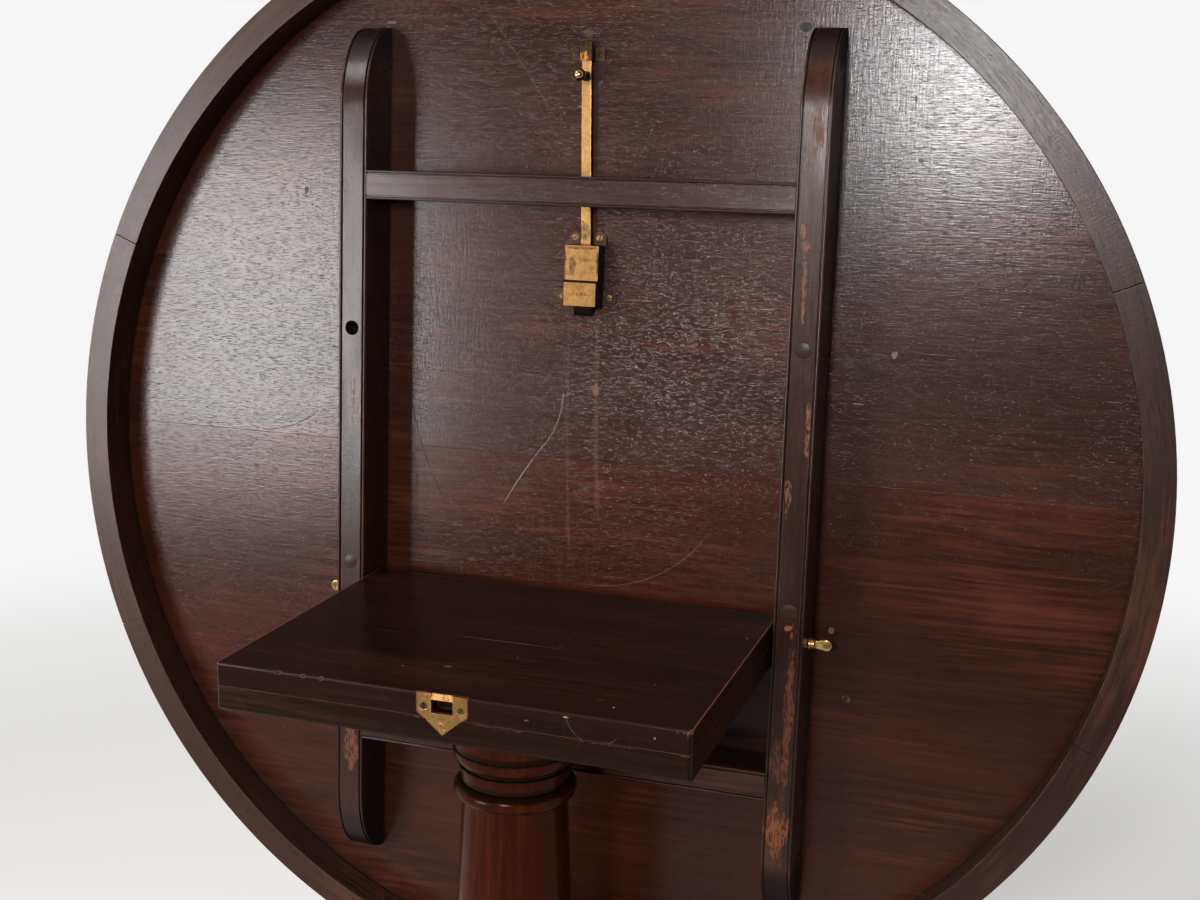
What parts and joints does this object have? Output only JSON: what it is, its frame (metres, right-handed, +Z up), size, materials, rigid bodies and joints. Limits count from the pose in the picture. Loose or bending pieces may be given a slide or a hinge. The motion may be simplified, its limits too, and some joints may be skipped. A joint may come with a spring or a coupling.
{
  "type": "tilt-top breakfast table",
  "caption": "Round tilt-top breakfast table, its top turned up on thumb bolts in a pedestal block, with a brass spring catch, turned column and lobed platform.",
  "frame": {"origin": "on the floor, below the middle of the table as it stands with its top turned up", "axes": "+Z up; +X along the pivot axis, to the right of someone who faces the underside of the top; -Y towards that person"},
  "size_m": [1.22, 0.5738, 1.449],
  "materials": {
    "board_mahogany": "old oil finish, streaked",
    "apron_mahogany": "satin",
    "frame_mahogany": "worn satin",
    "column_mahogany": "polished",
    "plug_wood": "matte",
    "aged_brass": "aged, dark in the corners",
    "rubbed_brass": "rubbed bright",
    "dark_steel": "darkened"
  },
  "bodies": {
    "base": {"block_upper": "frame_mahogany", "block_lower": "frame_mahogany", "strike_plate": "rubbed_brass", "strike_screws": "dark_steel", "insert_left": "aged_brass", "insert_right": "aged_brass", "column": "column_mahogany", "column_collar": "column_mahogany", "platform": "frame_mahogany", "foot_1": "frame_mahogany", "foot_2": "frame_mahogany", "foot_3": "frame_mahogany"},
    "top": {"top_board_upper": "board_mahogany", "top_board_lower": "board_mahogany", "apron_1": "apron_mahogany", "apron_2": "apron_mahogany", "apron_3": "apron_mahogany", "apron_4": "apron_mahogany", "apron_5": "apron_mahogany", "apron_6": "apron_mahogany", "apron_7": "apron_mahogany", "apron_8": "apron_mahogany", "bearer_left": "frame_mahogany", "bearer_right": "frame_mahogany", "rail_upper": "frame_mahogany", "rail_lower": "frame_mahogany", "bearer_screws": "dark_steel", "bearer_plugs": "plug_wood", "catch_case": "aged_brass", "catch_spring": "dark_steel", "catch_guide": "aged_brass", "catch_screws": "dark_steel", "guide_screws": "dark_steel"},
    "catch": {"catch_bolt": "rubbed_brass", "catch_rod": "aged_brass", "catch_knob": "rubbed_brass"},
    "thumb_bolt_l": {"thumb_bolt_left": "aged_brass"},
    "thumb_bolt_r": {"thumb_bolt_right": "aged_brass"}
  },
  "joints": [
    {"name": "top_tilt", "type": "hinge", "parent": "base", "child": "top", "pos_m": [0, 0.08, 0.682], "axis": [1, 0, 0], "range_deg": [0, 92.5]},
    {"name": "catch_slide", "type": "slide", "parent": "top", "child": "catch", "axis": [0, 0.0436, 0.999], "range_m": [0, 0.011], "stiffness_N_per_m": 400, "springref_m": -0.015, "deforming": ["catch_spring"]},
    {"name": "thumb_bolt_left_unscrew", "type": "slide", "parent": "base", "child": "thumb_bolt_l", "axis": [-1, 0, 0], "range_m": [0, 0.06]},
    {"name": "thumb_bolt_right_unscrew", "type": "slide", "parent": "base", "child": "thumb_bolt_r", "axis": [1, 0, 0], "range_m": [0, 0.06]}
  ]
}
